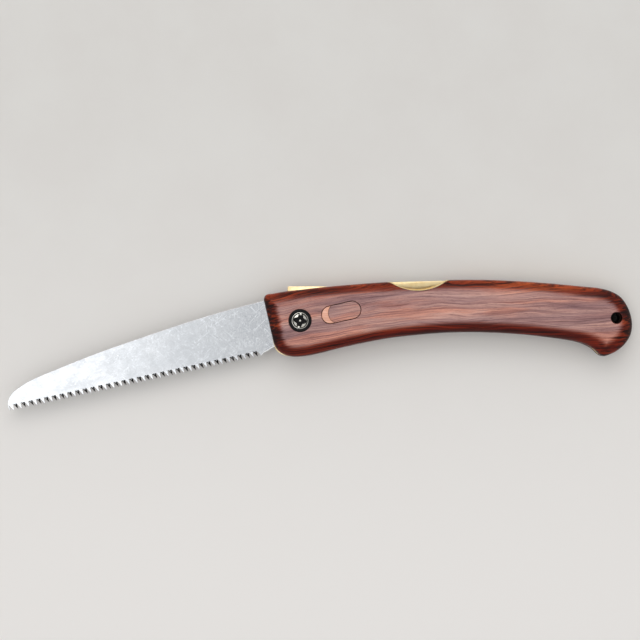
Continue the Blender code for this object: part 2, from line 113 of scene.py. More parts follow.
# ------------------------------------------------------------------ drawing helpers
def spline(points, closed=True, steps=24):
    pts = [np.array(p, float) for p in points]
    n = len(pts)
    out = []
    for i in range(n if closed else n - 1):
        if closed:
            p0, p1, p2, p3 = pts[i - 1], pts[i], pts[(i + 1) % n], pts[(i + 2) % n]
        else:
            p1, p2 = pts[i], pts[i + 1]
            p0 = pts[i - 1] if i else p1 * 2 - p2
            p3 = pts[i + 2] if i + 2 < n else p2 * 2 - p1
        t0 = 0.0
        t1 = t0 + math.sqrt(np.linalg.norm(p1 - p0))
        t2 = t1 + math.sqrt(np.linalg.norm(p2 - p1))
        t3 = t2 + math.sqrt(np.linalg.norm(p3 - p2))
        for k in range(steps):
            t = t1 + (t2 - t1) * k / steps
            a1 = (t1 - t) / (t1 - t0) * p0 + (t - t0) / (t1 - t0) * p1
            a2 = (t2 - t) / (t2 - t1) * p1 + (t - t1) / (t2 - t1) * p2
            a3 = (t3 - t) / (t3 - t2) * p2 + (t - t2) / (t3 - t2) * p3
            b1 = (t2 - t) / (t2 - t0) * a1 + (t - t0) / (t2 - t0) * a2
            b2 = (t3 - t) / (t3 - t1) * a2 + (t - t1) / (t3 - t1) * a3
            out.append((t2 - t) / (t2 - t1) * b1 + (t - t1) / (t2 - t1) * b2)
    if not closed:
        out.append(pts[-1])
    return np.array(out)


def resample(points, step, closed=True):
    pts = np.array(points, float)
    if closed:
        pts = np.vstack([pts, pts[:1]])
    seg = np.linalg.norm(np.diff(pts, axis=0), axis=1)
    s = np.concatenate([[0], np.cumsum(seg)])
    n = max(3, int(round(s[-1] / step)))
    at = np.linspace(0, s[-1], n, endpoint=False) if closed else np.linspace(0, s[-1], n)
    return np.stack([np.interp(at, s, pts[:, 0]), np.interp(at, s, pts[:, 1])], 1)


def arc(center, radius, start_deg, end_deg, count):
    a = np.radians(np.linspace(start_deg, end_deg, count))
    return np.stack([center[0] + radius * np.cos(a), center[1] + radius * np.sin(a)], 1)


def circle(center, radius, count):
    a = np.arange(count) * 2 * math.pi / count
    return np.stack([center[0] + radius * np.cos(a), center[1] + radius * np.sin(a)], 1)


def obround(center, length, width, deg, count=28):
    half, r = 0.5 * (length - width), 0.5 * width
    pts = np.vstack([arc((half, 0), r, -90, 90, count), arc((-half, 0), r, 90, 270, count)])
    c, s = math.cos(math.radians(deg)), math.sin(math.radians(deg))
    pts = np.stack([center[0] + pts[:, 0] * c - pts[:, 1] * s, center[1] + pts[:, 0] * s + pts[:, 1] * c], 1)
    return resample(pts, 0.45)


def loop_normals(points):
    """Unit normals on the right-hand side of a closed loop."""
    tan = np.roll(points, -1, 0) - np.roll(points, 1, 0)
    tan /= np.linalg.norm(tan, axis=1)[:, None]
    return np.stack([tan[:, 1], -tan[:, 0]], 1)


def nearest(points, loop):
    """Distance to a closed loop, and the index of the nearest loop vertex."""
    a, b = loop, np.roll(loop, -1, 0)
    ab = b - a
    ll = (ab ** 2).sum(1)
    dist, idx = np.empty(len(points)), np.empty(len(points), int)
    for i in range(0, len(points), 2000):
        p = points[i:i + 2000, None, :]
        t = np.clip(((p - a) * ab).sum(2) / ll, 0, 1)
        d2 = ((a + ab * t[..., None] - p) ** 2).sum(2)
        k = d2.argmin(1)
        dist[i:i + 2000] = np.sqrt(d2[np.arange(len(k)), k])
        idx[i:i + 2000] = k
    return dist, idx


def inside(points, loop):
    out = np.zeros(len(points), bool)
    a, b = loop, np.roll(loop, -1, 0)
    for i in range(0, len(points), 4000):
        p = points[i:i + 4000]
        x, y = p[:, 0:1], p[:, 1:2]
        cross = (a[:, 1] > y) != (b[:, 1] > y)
        with np.errstate(divide="ignore", invalid="ignore"):
            xi = (b[:, 0] - a[:, 0]) * (y - a[:, 1]) / (b[:, 1] - a[:, 1]) + a[:, 0]
        out[i:i + 4000] = (cross & (x < xi)).sum(1) % 2 == 1
    return out


def triangulate(loops, loose):
    """Triangles filling loops[0] outside loops[1:], using the loose points too. Returns xy, triangles, loop index lists."""
    coords, edges, marks = [], [], []
    for loop in loops:
        base = len(coords)
        coords += [Vector(map(float, p)) for p in loop]
        edges += [(base + k, base + (k + 1) % len(loop)) for k in range(len(loop))]
        marks.append(list(range(base, base + len(loop))))
    coords += [Vector(map(float, p)) for p in loose]
    verts, lines, tris, orig, line_of, _ = delaunay_2d_cdt(coords, edges, [], 0, 1e-5)
    new_of = {}
    for new, olds in enumerate(orig):
        for old in olds:
            new_of[old] = new
    xy = np.array([tuple(v) for v in verts])
    tris = np.array([list(t) for t in tris if len(t) == 3])
    rings = [[new_of[k] for k in m] for m in marks]
    walls = {(min(e), max(e)) for e, source in zip(lines, line_of) if source}
    mid = xy[tris].mean(1)
    u, v = xy[tris[:, 1]] - xy[tris[:, 0]], xy[tris[:, 2]] - xy[tris[:, 0]]
    area = np.abs(u[:, 0] * v[:, 1] - u[:, 1] * v[:, 0])
    keep = inside(mid, np.array(loops[0])) & (area > 2e-3)
    for loop in loops[1:]:
        keep &= ~inside(mid, np.array(loop))
    # spread from the plainly good triangles to the slivers beside them, never across a loop
    sides = {}
    for i, t in enumerate(tris.tolist()):
        for p in ((t[0], t[1]), (t[1], t[2]), (t[2], t[0])):
            sides.setdefault((min(p), max(p)), []).append(i)
    stack = np.nonzero(keep)[0].tolist()
    tl = tris.tolist()
    while stack:
        t = tl[stack.pop()]
        for p in ((t[0], t[1]), (t[1], t[2]), (t[2], t[0])):
            e = (min(p), max(p))
            if e not in walls:
                for j in sides[e]:
                    if not keep[j]:
                        keep[j] = True
                        stack.append(j)
    return xy, tris[keep], rings


def to_object(name, verts_mm, faces, sharp_deg=38.0, attributes=None):
    mesh = bpy.data.meshes.new(name)
    v = np.array(verts_mm, float)
    v = np.stack([v[:, 0] + PX, v[:, 1] + PY, v[:, 2]], 1) * MM
    mesh.from_pydata(v.tolist(), [], [list(map(int, f)) for f in faces])
    mesh.update()
    for key, (kind, values) in (attributes or {}).items():
        att = mesh.attributes.new(key, kind, "POINT")
        att.data.foreach_set("vector" if kind == "FLOAT_VECTOR" else "value", np.asarray(values, np.float32).ravel())
    bm = bmesh.new()
    bm.from_mesh(mesh)
    bmesh.ops.recalc_face_normals(bm, faces=bm.faces)
    bm.to_mesh(mesh)
    bm.free()
    mesh.shade_smooth()
    mesh.set_sharp_from_angle(angle=math.radians(sharp_deg))
    item = bpy.data.objects.new(name, mesh)
    bpy.context.scene.collection.objects.link(item)
    return item


# ------------------------------------------------------------------ material helpers
class Mat:
    def __init__(self, name):
        self.mat = bpy.data.materials.new(name)
        self.mat.use_nodes = True
        self.tree = self.mat.node_tree
        self.bsdf = self.tree.nodes["Principled BSDF"]

    def put(self, sock, value):
        if isinstance(value, bpy.types.NodeSocket):
            self.tree.links.new(value, sock)
        elif isinstance(value, (tuple, list)) and len(value) == 3 and sock.type == "RGBA":
            sock.default_value = (*value, 1.0)
        else:
            sock.default_value = value

    def node(self, kind, ins=None, **props):
        item = self.tree.nodes.new(kind)
        for k, v in props.items():
            setattr(item, k, v)
        for k, v in (ins or {}).items():
            self.put(item.inputs[k], v)
        return item

    def math(self, op, a, b=0.0, c=None, clamp=False):
        item = self.node("ShaderNodeMath", {0: a, 1: b}, operation=op, use_clamp=clamp)
        if c is not None:
            self.put(item.inputs[2], c)
        return item.outputs[0]

    def vec(self, x, y, z):
        return self.node("ShaderNodeCombineXYZ", {0: x, 1: y, 2: z}).outputs[0]

    def split(self, v):
        item = self.node("ShaderNodeSeparateXYZ", {0: v})
        return item.outputs[0], item.outputs[1], item.outputs[2]

    def noise(self, v, scale, detail=4.0, rough=0.55, distort=0.0):
        return self.node("ShaderNodeTexNoise", {"Vector": v, "Scale": scale, "Detail": detail, "Roughness": rough,
                                                "Distortion": distort}).outputs["Fac"]

    def ramp(self, fac, stops, mode="LINEAR"):
        item = self.node("ShaderNodeValToRGB", {"Fac": fac})
        ramp = item.color_ramp
        ramp.interpolation = mode
        while len(ramp.elements) < len(stops):
            ramp.elements.new(0.5)
        for el, (pos, col) in zip(ramp.elements, stops):
            el.position = pos
            el.color = (*col, 1.0) if isinstance(col, (tuple, list)) else (col, col, col, 1.0)
        return item.outputs["Color"]

    def step(self, value, lo, hi):
        return self.node("ShaderNodeMapRange", {"Value": value, "From Min": lo, "From Max": hi},
                         interpolation_type="SMOOTHSTEP").outputs["Result"]

    def mix(self, fac, a, b, mode="MIX"):
        item = self.node("ShaderNodeMix", data_type="RGBA", blend_type=mode)
        self.put(item.inputs["Factor"], fac)
        self.put(item.inputs[6], a)
        self.put(item.inputs[7], b)
        return item.outputs[2]

    def attr(self, name):
        return self.node("ShaderNodeAttribute", attribute_name=name)

    def bump(self, height, strength, distance, normal=None):
        item = self.node("ShaderNodeBump", {"Height": height, "Strength": strength, "Distance": distance})
        if normal is not None:
            self.put(item.inputs["Normal"], normal)
        return item.outputs["Normal"]

    def mm(self):
        """Object coordinates in millimetres."""
        tc = self.node("ShaderNodeTexCoord").outputs["Object"]
        return self.node("ShaderNodeVectorMath", {0: tc, 1: (1000.0, 1000.0, 1000.0)}, operation="MULTIPLY").outputs[0]

    def done(self, **ins):
        for k, v in ins.items():
            self.put(self.bsdf.inputs[k.replace("_", " ")], v)
        return self.mat


def rosewood():
    m = Mat("rosewood_oiled")
    g = m.attr("grain").outputs["Vector"]
    edge0 = m.attr("edge").outputs["Fac"]
    # the end attribute carries end-grain darkening and painted shade at the lanyard hole, the oval pocket and the notch
    # edge
    end = m.attr("end").outputs["Fac"]
    gx, gy, gz = m.split(g)

    def grain(along, across, through, shift=0.0, detail=4.0, rough=0.6, line=None):
        return m.noise(m.vec(m.math("ADD", m.math("MULTIPLY", gx, along), shift), m.math("MULTIPLY", gy if line is None else line, across),
                             m.math("MULTIPLY", gz, through)), 1.0, detail, rough)

    wander = m.math("SUBTRACT", grain(0.022, 0.08, 0.08, 0.0, 2.0, 0.5), 0.5)
    ripple = m.math("SUBTRACT", grain(0.11, 0.25, 0.1, 31.0, 2.0, 0.5), 0.5)
    q = m.math("ADD", m.math("ADD", gy, m.math("MULTIPLY", wander, 6.5)), m.math("MULTIPLY", ripple, 0.8))
    q = m.math("ADD", q, m.math("MULTIPLY", gz, 0.75))
    broad = grain(0.010, 0.26, 0.05, 3.0, 5.0, 0.62, q)
    tone = grain(0.016, 0.14, 0.05, 57.0, 3.0, 0.55, q)
    fine = grain(0.030, 1.55, 0.3, 11.0, 5.0, 0.66, q)
    thin = grain(0.045, 3.3, 0.6, 23.0, 4.0, 0.62, q)
    hair = grain(0.090, 7.5, 1.0, 5.0, 3.0, 0.6, q)
    edge = m.math("ADD", edge0, m.math("MULTIPLY", m.math("SUBTRACT", fine, 0.5), 0.9))
    # painted light: the flat face's colour (base) carries a painted pale mauve sheen over the wood's tone, and the
    # roundovers' colour (rim) is darker and redder as painted shade where the edges turn away from the light; the share
    # below blends from the one to the other
    rim_shade_share = m.step(edge, 0.06, 0.46)
    base = m.ramp(broad, [(0.28, (0.17, 0.080, 0.082)), (0.38, (0.34, 0.178, 0.166)), (0.48, (0.49, 0.268, 0.232)),
                          (0.60, (0.60, 0.338, 0.280)), (0.74, (0.70, 0.415, 0.335))])
    base = m.mix(m.math("MULTIPLY", m.step(tone, 0.50, 0.60), 0.75), base, m.mix(1.0, base, (1.16, 0.88, 0.74), "MULTIPLY"))
    base = m.mix(m.math("MULTIPLY", m.step(tone, 0.49, 0.40), 0.70), base, m.mix(1.0, base, (0.86, 0.93, 1.00), "MULTIPLY"))
    rim = m.ramp(broad, [(0.30, (0.012, 0.0015, 0.0010)), (0.41, (0.085, 0.008, 0.0030)), (0.50, (0.24, 0.028, 0.008)),
                         (0.62, (0.42, 0.070, 0.018)), (0.78, (0.56, 0.15, 0.045))])
    col = m.mix(rim_shade_share, base, rim)
    dark = m.mix(rim_shade_share, (0.120, 0.052, 0.060), (0.010, 0.0012, 0.0010))
    col = m.mix(m.math("MULTIPLY", m.step(fine, 0.53, 0.40), m.math("ADD", 0.52, m.math("MULTIPLY", rim_shade_share, 0.36))), col, dark)
    col = m.mix(m.math("MULTIPLY", m.step(thin, 0.47, 0.36), m.math("ADD", 0.55, m.math("MULTIPLY", rim_shade_share, 0.20))), col, dark)
    col = m.mix(m.math("MULTIPLY", m.step(hair, 0.50, 0.38), 0.40), col, dark)
    col = m.mix(m.math("MULTIPLY", m.step(hair, 0.60, 0.72), 0.25), col, m.mix(rim_shade_share, (0.70, 0.42, 0.36), (0.55, 0.11, 0.03)))
    # open pores: short dark dashes along the grain
    pores = grain(0.33, 7.5, 3.0, 71.0, 2.0, 0.5, q)
    pore = m.step(pores, 0.64, 0.71)
    col = m.mix(m.math("MULTIPLY", pore, 0.66), col, (0.024, 0.007, 0.007))
    # end grain drinks the oil and goes nearly black, in ragged tongues along the grain; the same mask also carries
    # painted shade in and round the lanyard hole, round the oval pocket and along the thumb notch's edge
    tongue = m.noise(m.vec(m.math("MULTIPLY", gx, 0.030), m.math("MULTIPLY", gy, 1.05), m.math("MULTIPLY", gz, 0.35)), 1.0, 4.0, 0.70)
    ragged = m.math("ADD", end, m.math("MULTIPLY", m.math("SUBTRACT", tongue, 0.5), 3.2))
    dark_endgrain_and_shade = m.step(ragged, 0.48, 1.02)
    ruddy = m.step(m.math("ADD", end, m.math("MULTIPLY", m.math("SUBTRACT", tongue, 0.5), 1.8)), 0.10, 0.75)
    col = m.mix(m.math("MULTIPLY", ruddy, 0.72), col, m.mix(1.0, rim, (0.95, 0.88, 0.82), "MULTIPLY"))
    col = m.mix(m.math("MULTIPLY", dark_endgrain_and_shade, 0.94), col, (0.010, 0.0028, 0.0022))
    # painted shade: the lower roundover, which faces away from the light, is darkened and reddened further
    belly_shade = m.attr("belly_shade").outputs["Fac"]
    col = m.mix(m.math("MULTIPLY", belly_shade, 0.92), col, m.mix(1.0, col, (0.46, 0.18, 0.12), "MULTIPLY"))
    rough = m.math("ADD", 0.26, m.math("MULTIPLY", hair, 0.12))
    height = m.math("SUBTRACT", m.math("MULTIPLY", fine, 0.35), m.math("MULTIPLY", pore, 0.9))
    nrm = m.bump(height, 0.35, 0.00006)
    return m.done(Base_Color=col, Roughness=rough, Normal=nrm, Specular_IOR_Level=0.12, Coat_Weight=0.07, Coat_Roughness=0.12,
                  Coat_Normal=nrm, IOR=1.5)


def pale_wood():
    # the pale end piece's colour is a pale wood and also stands in for light falling on the oval pocket's left wall:
    # painted highlight
    m = Mat("pale_wood_and_painted_highlight")
    gx, gy, gz = m.split(m.mm())
    n = m.noise(m.vec(m.math("MULTIPLY", gx, 0.15), m.math("MULTIPLY", gy, 1.4), gz), 1.0, 4.0, 0.6)
    col = m.ramp(n, [(0.3, (0.60, 0.26, 0.16)), (0.55, (0.76, 0.37, 0.25)), (0.75, (0.86, 0.50, 0.36))])
    return m.done(Base_Color=col, Roughness=m.math("ADD", 0.34, m.math("MULTIPLY", n, 0.1)), Coat_Weight=0.25,
                  Coat_Roughness=0.2, Normal=m.bump(n, 0.2, 0.00003))


def brass(name="brass_brushed", tint=(0.98, 0.78, 0.44), rough=0.30):
    m = Mat(name)
    x, y, z = m.split(m.mm())
    long_lines = m.noise(m.vec(m.math("MULTIPLY", x, 0.25), m.math("MULTIPLY", y, 6.0), m.math("MULTIPLY", z, 6.0)), 1.0, 4.0, 0.65)
    cloud = m.noise(m.mm(), 0.35, 3.0, 0.6)
    col = m.mix(m.step(cloud, 0.35, 0.7), tint, tuple(c * k for c, k in zip(tint, (0.90, 0.84, 0.72))))
    col = m.mix(m.math("MULTIPLY", m.step(long_lines, 0.35, 0.65), 0.22), col, tuple(c * 0.72 for c in tint))
    # painted shade: the brass round the lanyard hole is darkened to near black
    dx = m.math("SUBTRACT", x, PX + LANYARD[0])
    dy = m.math("SUBTRACT", y, PY + LANYARD[1])
    away = m.math("SQRT", m.math("ADD", m.math("MULTIPLY", dx, dx), m.math("MULTIPLY", dy, dy)))
    col = m.mix(m.step(away, LANYARD_R + 0.7, LANYARD_R + 0.3), col, (0.02, 0.014, 0.010))
    r = m.math("ADD", rough, m.math("MULTIPLY", m.math("SUBTRACT", long_lines, 0.5), 0.18))
    return m.done(Base_Color=col, Metallic=1.0, Roughness=r, Normal=m.bump(long_lines, 0.22, 0.00003))


def steel(name, tint, rough, turn_deg=0.0, scratches=0.5, cloudiness=0.5):
    """Ground steel: fine lines along turn_deg, stray scratches and faint clouds."""
    m = Mat(name)
    c, s = math.cos(math.radians(turn_deg)), math.sin(math.radians(turn_deg))
    x, y, z = m.split(m.mm())
    u = m.math("ADD", m.math("MULTIPLY", x, c), m.math("MULTIPLY", y, s))
    v = m.math("SUBTRACT", m.math("MULTIPLY", y, c), m.math("MULTIPLY", x, s))
    lines = m.noise(m.vec(m.math("MULTIPLY", u, 0.12), m.math("MULTIPLY", v, 4.5), z), 1.0, 5.0, 0.7)
    cloud = m.noise(m.vec(u, v, z), 0.16, 5.0, 0.62)
    specks = m.noise(m.vec(m.math("MULTIPLY", u, 0.9), m.math("MULTIPLY", v, 0.9), z), 1.0, 3.0, 0.7)
    marks = None
    for k, (deg, lo) in enumerate(((34.0, 0.655), (-52.0, 0.67), (78.0, 0.66))):
        cc, ss = math.cos(math.radians(deg)), math.sin(math.radians(deg))
        a = m.math("ADD", m.math("MULTIPLY", u, cc), m.math("MULTIPLY", v, ss))
        b = m.math("SUBTRACT", m.math("MULTIPLY", v, cc), m.math("MULTIPLY", u, ss))
        n = m.noise(m.vec(m.math("MULTIPLY", a, 0.14), m.math("MULTIPLY", b, 2.6), m.math("ADD", z, 7.3 * k)), 1.0, 2.0, 0.5)
        n = m.step(n, lo, lo + 0.05)
        marks = n if marks is None else m.math("MAXIMUM", marks, n)
    patch = m.noise(m.vec(m.math("MULTIPLY", u, 0.8), v, m.math("ADD", z, 40.0)), 0.055, 4.0, 0.6)
    col = m.mix(m.math("MULTIPLY", m.step(cloud, 0.40, 0.62), 0.62 * cloudiness), tint, tuple(k * 0.78 for k in tint))
    col = m.mix(m.math("MULTIPLY", m.step(patch, 0.44, 0.60), 0.60 * cloudiness), col, m.mix(1.0, col, (0.86, 0.87, 0.88), "MULTIPLY"))
    col = m.mix(m.math("MULTIPLY", m.step(lines, 0.42, 0.62), 0.30), col, tuple(k * 0.80 for k in tint))
    col = m.mix(m.math("MULTIPLY", m.step(specks, 0.56, 0.68), 0.55 * scratches), col, tuple(min(1.0, k * 1.25) for k in tint))
    col = m.mix(m.math("MULTIPLY", m.step(specks, 0.44, 0.32), 0.45 * scratches), col, tuple(k * 0.76 for k in tint))
    col = m.mix(m.math("MULTIPLY", marks, 0.60 * scratches), col, tuple(min(1.0, k * 1.28) for k in tint))
    r = m.math("ADD", rough, m.math("MULTIPLY", m.math("SUBTRACT", cloud, 0.5), 0.30 * cloudiness))
    r = m.math("ADD", r, m.math("MULTIPLY", m.math("SUBTRACT", lines, 0.5), 0.16))
    r = m.math("ADD", r, m.math("MULTIPLY", m.math("SUBTRACT", specks, 0.5), 0.10 * cloudiness))
    r = m.math("MAXIMUM", r, 0.08)
    h = m.math("ADD", m.math("MULTIPLY", lines, 0.6), m.math("MULTIPLY", marks, 0.8 * scratches))
    return m.done(Base_Color=col, Metallic=1.0, Roughness=r, Normal=m.bump(h, 0.18, 0.00004))


def black_oxide():
    # near black: the pivot rings' oxide finish, and painted shade where the bolt's drive recess and groove use it
    m = Mat("black_oxide_and_recess_shade")
    n = m.noise(m.mm(), 1.2, 5.0, 0.65)
    fine = m.noise(m.mm(), 9.0, 3.0, 0.6)
    col = m.mix(m.step(n, 0.55, 0.75), (0.006, 0.0055, 0.006), (0.016, 0.014, 0.014))
    return m.done(Base_Color=col, Metallic=0.0, Specular_IOR_Level=0.12, Roughness=m.math("ADD", 0.40, m.math("MULTIPLY", fine, 0.16)),
                  Normal=m.bump(fine, 0.25, 0.00003))


def tooth_black():
    # near black with almost no shine: the teeth's hardened steel darkened further as painted shade, so the bevel facets
    # read as dark gaps between the teeth
    m = Mat("tooth_facet_hardened_and_shade")
    n = m.noise(m.mm(), 2.5, 3.0, 0.6)
    col = m.mix(n, (0.004, 0.0035, 0.0035), (0.014, 0.012, 0.011))
    return m.done(Base_Color=col, Metallic=0.0, Specular_IOR_Level=0.02, Roughness=m.math("ADD", 0.40, m.math("MULTIPLY", n, 0.2)),
                  Normal=m.bump(n, 0.2, 0.00003))


def floor_paper():
    m = Mat("pale_board")
    n = m.noise(m.mm(), 0.02, 4.0, 0.6)
    fine = m.noise(m.mm(), 1.6, 4.0, 0.6)
    col = m.mix(m.step(n, 0.3, 0.7), (0.655, 0.630, 0.600), (0.675, 0.655, 0.625))
    x, y, _ = m.split(m.mm())
    # painted light: the board is painted lighter towards -Y
    col = m.mix(m.step(y, 150.0, -170.0), col, (0.800, 0.768, 0.738))
    # painted shadow: a dark spot on the board straight under the lanyard hole
    dx = m.math("SUBTRACT", x, PX + LANYARD[0])
    dy = m.math("SUBTRACT", y, PY + LANYARD[1])
    away = m.math("SQRT", m.math("ADD", m.math("MULTIPLY", dx, dx), m.math("MULTIPLY", dy, dy)))
    col = m.mix(m.step(away, LANYARD_R + 0.6, LANYARD_R), col, (0.05, 0.045, 0.040))
    return m.done(Base_Color=col, Roughness=0.75, Specular_IOR_Level=0.25, Normal=m.bump(fine, 0.06, 0.00008))


ROSEWOOD = rosewood()
PALE = pale_wood()
BRASS = brass()
BLADE_STEEL = steel("blade_steel", (0.550, 0.560, 0.575), 0.20, TOOTH_DEG - 180, 1.0, 0.75)
# a brighter copy of the blade steel for the edge chamfers: painted highlight along the ground edges, strongest on the
# wide ricasso chamfer
EDGE_STEEL = steel("blade_edge_painted_highlight", (0.93, 0.93, 0.92), 0.30, TOOTH_DEG - 180, 0.3, 0.3)
DARK_STEEL = steel("dark_steel", (0.42, 0.43, 0.45), 0.34, 0.0, 0.3, 0.6)
NICKEL = steel("bright_nickel", (0.70, 0.67, 0.61), 0.16, 15.0, 0.3, 0.6)
BRONZE = brass("bronze_turned", (0.60, 0.40, 0.20), 0.32)
BLACK = black_oxide()
TOOTH_BLACK = tooth_black()


def finish_piece(item, mats, body, nodes):
    item.data.materials.clear()
    for mat in (mats if isinstance(mats, (list, tuple)) else [mats]):
        item.data.materials.append(mat)
    if body:
        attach(item, body)
    if nodes:
        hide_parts(*nodes)
    return item


# ------------------------------------------------------------------ wooden scales
HANDLE = resample(spline(TOP_LINE + TAIL + HOOK + BELLY + LOWER_CORNER + FRONT_EDGE + UPPER_CORNER), 0.40)
HANDLE_IN = loop_normals(HANDLE)


def grain_coords(x, y, z):
    """Where a point lies in the plank: along the grain, across it and through it."""
    rise = np.where(x < 82, 7.3 - 0.00131 * (x - 82) ** 2, 7.3 + 0.035 * (x - 82))
    return np.stack([x, y - rise, z], 1)


def notched_outline():
    """The handle outline with the thumb notch taken out and its corners eased."""
    c = np.array([NOTCH_X, NOTCH_Y + NOTCH_R])
    out = np.linalg.norm(HANDLE - c, axis=1) > NOTCH_R
    k = int(np.argmax(~out & np.roll(out, 1)))
    loop = np.roll(HANDLE, -k, 0)
    out = np.roll(out, -k)
    rest = loop[out]
    first, last = rest[-1], rest[0]
    a0 = math.degrees(math.atan2(first[1] - c[1], first[0] - c[0]))
    a1 = math.degrees(math.atan2(last[1] - c[1], last[0] - c[0]))
    cut = arc(c, NOTCH_R, a0, a1, int(math.radians(a1 - a0) * NOTCH_R / 0.4) + 2)[1:-1]
    full = np.vstack([rest, cut])
    marks = np.concatenate([np.zeros(len(rest)), np.ones(len(cut))])
    corner = [len(rest), len(full)]
    idx = np.arange(len(full))
    near = np.zeros(len(full))
    for k in corner:
        gap = np.minimum(np.abs(idx - k), len(full) - np.abs(idx - k))
        near = np.maximum(near, np.clip(1 - gap / 5.0, 0, 1))
    for _ in range(14):
        avg = 0.5 * (np.roll(full, 1, 0) + np.roll(full, -1, 0))
        full = full + (avg - full) * near[:, None]
    return full, marks > 0.5


def scale_piece(name, z_in, z_out, front):
    up = 1.0 if z_out > z_in else -1.0
    height = abs(z_out - z_in) - EDGE_WALL
    outline, in_notch = notched_outline()
    lanyard = circle(LANYARD, LANYARD_R, 56)
    seat = circle((0, 0), SEAT_R, 84)
    holes = [lanyard, seat] + ([obround(OVAL, OVAL_LEN, OVAL_W, OVAL_DEG)] if front else [])
    notch_c = np.array([NOTCH_X, NOTCH_Y + NOTCH_R])

    width_at = 6.3 + 1.5 * np.clip((HANDLE[:, 0] - 138) / 20, 0, 1) + 0.5 * np.clip((-8 - HANDLE[:, 0]) / 6, 0, 1)

    def cut_distance(p):
        d = np.linalg.norm(p - notch_c, axis=1) - NOTCH_R
        for h in holes:
            d = np.minimum(d, nearest(p, h)[0])
        return d

    rows = []
    for k, deg in enumerate(np.linspace(9, 90, 11)):
        share = 1 - math.cos(math.radians(deg))
        pick = slice(k % 2, None, 1 if k < 3 else 2)
        rows.append((HANDLE + HANDLE_IN * (width_at * share)[:, None])[pick])
        rows[-1] = rows[-1][nearest(rows[-1], HANDLE)[0] > 0.93 * share * 6.0 - 0.02]
    grid = np.stack(np.meshgrid(np.arange(-17, 167, 1.3), np.arange(-17, 20, 1.3)), -1).reshape(-1, 2)
    grid = grid + np.stack([np.zeros(len(grid)), 0.325 * (np.arange(len(grid)) % 2)], 1)
    dg, kg = nearest(grid, HANDLE)
    rows.append(grid[inside(grid, HANDLE) & (dg > width_at[kg] * 1.04)])
    loose = np.vstack(rows)
    loose = loose[inside(loose, outline)]
    loose = loose[(cut_distance(loose) > 0.55) & (nearest(loose, outline)[0] > 0.05)]
    for h in holes:
        loose = loose[~inside(loose, h)]
    lips = []
    for h in holes:
        nrm = loop_normals(h)
        for d in (0.09, 0.2, 0.36):
            lips.append(h + nrm * d)
    nrm = loop_normals(outline)
    for d in (0.09, 0.2, 0.36):
        lips.append((outline + nrm * d)[in_notch])
    lips = np.vstack(lips)
    lips = lips[inside(lips, outline)]
    loose = np.vstack([loose, lips])
    spare = np.unique(np.round(loose / 0.05).astype(int), axis=0, return_index=True)[1]
    loose = loose[np.sort(spare)]

    xy, tris, marks = triangulate([outline] + holes, loose)
    d, k = nearest(xy, HANDLE)
    d = np.where(inside(xy, HANDLE), d, 0.0)
    w = width_at[k]
    edge = np.clip(1 - d / w, 0, 1)
    z = EDGE_WALL + height * np.sqrt(np.maximum(0, 1 - edge ** 2))
    # sanding softens the creases where rounded edges meet
    pairs = np.unique(np.sort(np.vstack([tris[:, [0, 1]], tris[:, [1, 2]], tris[:, [2, 0]]]), axis=1), axis=0)
    free = np.clip((d - 0.8) / 1.5, 0, 1) * 0.6
    count = np.bincount(pairs.ravel(), minlength=len(xy)).astype(float)
    for _ in range(10):
        total = np.bincount(pairs[:, 0], z[pairs[:, 1]], len(xy)) + np.bincount(pairs[:, 1], z[pairs[:, 0]], len(xy))
        z = z + (total / np.maximum(count, 1) - z) * free
    crown = 0.32 if front else 0.10
    z = z - crown * np.exp(-np.maximum(d - 0.55 * w, 0) / 4.5)
    lip = 0.30
    dc = np.clip(cut_distance(xy), 0, lip)
    z = z - lip * (1 - np.sqrt(np.maximum(0, 1 - (1 - dc / lip) ** 2))) * np.clip((z - 0.3) / 1.0, 0, 1)

    verts = [(p[0], p[1], z_in + up * h) for p, h in zip(xy, z)]
    faces = [tuple(t) for t in tris]
    tail = np.clip((HANDLE[k][:, 0] - 90) / 20, 0, 1)
    endgrain_and_shade = np.abs(HANDLE_IN[k][:, 0]) ** (2.0 - 0.9 * tail) * np.clip(1.10 - d / (w * 1.05), 0, 1) ** 0.8
    hook_tip = HANDLE[np.argmin(HANDLE[:, 1] + 100 * (HANDLE[:, 0] < 125))]
    endgrain_and_shade = np.maximum(endgrain_and_shade * (1 + 0.15 * tail), 0.85 * np.clip(1.5 - np.linalg.norm(xy - hook_tip, axis=1) / 6.5, 0, 1) * np.clip(edge * 1.4, 0, 1))
    # painted shade round the lanyard hole's mouth
    endgrain_and_shade = np.maximum(endgrain_and_shade, 0.75 * np.clip(1 - nearest(xy, lanyard)[0] / 0.35, 0, 1))
    if front:
        # painted shadow: a dark line round the oval pocket's edge, where the pocket wall casts shade
        endgrain_and_shade = np.maximum(endgrain_and_shade, 1.5 * np.clip(1 - nearest(xy, holes[2])[0] / 0.36, 0, 1))
    # painted shade: a dark line along the thumb notch's edge
    at_notch = np.abs(np.linalg.norm(xy - notch_c, axis=1) - NOTCH_R)
    endgrain_and_shade = np.maximum(endgrain_and_shade, 1.2 * np.clip(1 - at_notch / 0.40, 0, 1))
    # painted shade mask: strongest on the roundover along the lower edge
    belly_shade = np.clip(HANDLE_IN[k][:, 1] * 1.4, 0, 1) * np.clip(edge * 2.2, 0, 1)
    grain = grain_coords(xy[:, 0], xy[:, 1], z_in + up * z)
    belly_shade_list = list(belly_shade)
    g_list, e_list, endgrain_shade_list = list(grain), list(edge), list(endgrain_and_shade)

